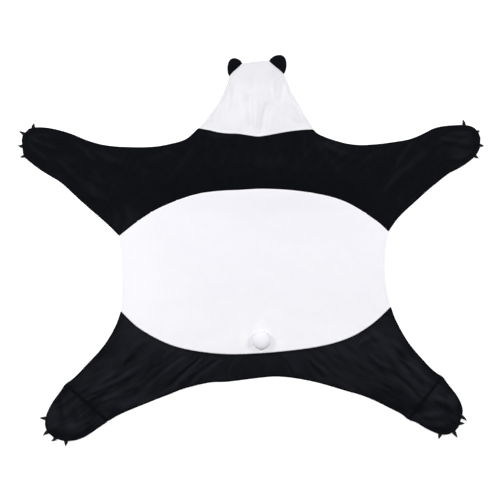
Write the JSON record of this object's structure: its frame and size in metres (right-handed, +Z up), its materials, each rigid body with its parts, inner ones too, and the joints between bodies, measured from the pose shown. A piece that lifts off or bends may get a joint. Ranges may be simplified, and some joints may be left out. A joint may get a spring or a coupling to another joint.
{
  "type": "wearable hooded blanket",
  "caption": "Plush blanket cut like an animal skin, with a hood, ears, tail and pocketed paws, laid out flat.",
  "frame": {"origin": "centre of the overall plan, on the surface that the blanket lies on", "axes": "+X towards the forepaw on the right, +Y towards the hood, +Z up from the surface"},
  "size_m": [1.859, 1.5604, 0.0442],
  "materials": {
    "white_plush": "matte short pile",
    "black_plush": "matte short pile",
    "claw_felt": "dull felt"
  },
  "bodies": {
    "root": {"hood_back": "white_plush", "hood_front": "white_plush", "body": "white_plush", "tail": "white_plush", "shoulders": "black_plush", "hips": "black_plush", "hind_paw_left": "black_plush", "hind_paw_right": "black_plush", "hind_pocket_left": "black_plush", "hind_pocket_right": "black_plush", "fore_pocket_left": "black_plush", "fore_pocket_right": "black_plush", "ear_left": "black_plush", "ear_right": "black_plush", "claw_fore_left_1": "claw_felt", "claw_fore_left_2": "claw_felt", "claw_fore_left_3": "claw_felt", "claw_fore_left_4": "claw_felt", "claw_fore_right_1": "claw_felt", "claw_fore_right_2": "claw_felt", "claw_fore_right_3": "claw_felt", "claw_fore_right_4": "claw_felt", "claw_hind_left_1": "claw_felt", "claw_hind_left_2": "claw_felt", "claw_hind_left_3": "claw_felt", "claw_hind_left_4": "claw_felt", "claw_hind_right_1": "claw_felt", "claw_hind_right_2": "claw_felt", "claw_hind_right_3": "claw_felt", "claw_hind_right_4": "claw_felt"}
  },
  "joints": []
}
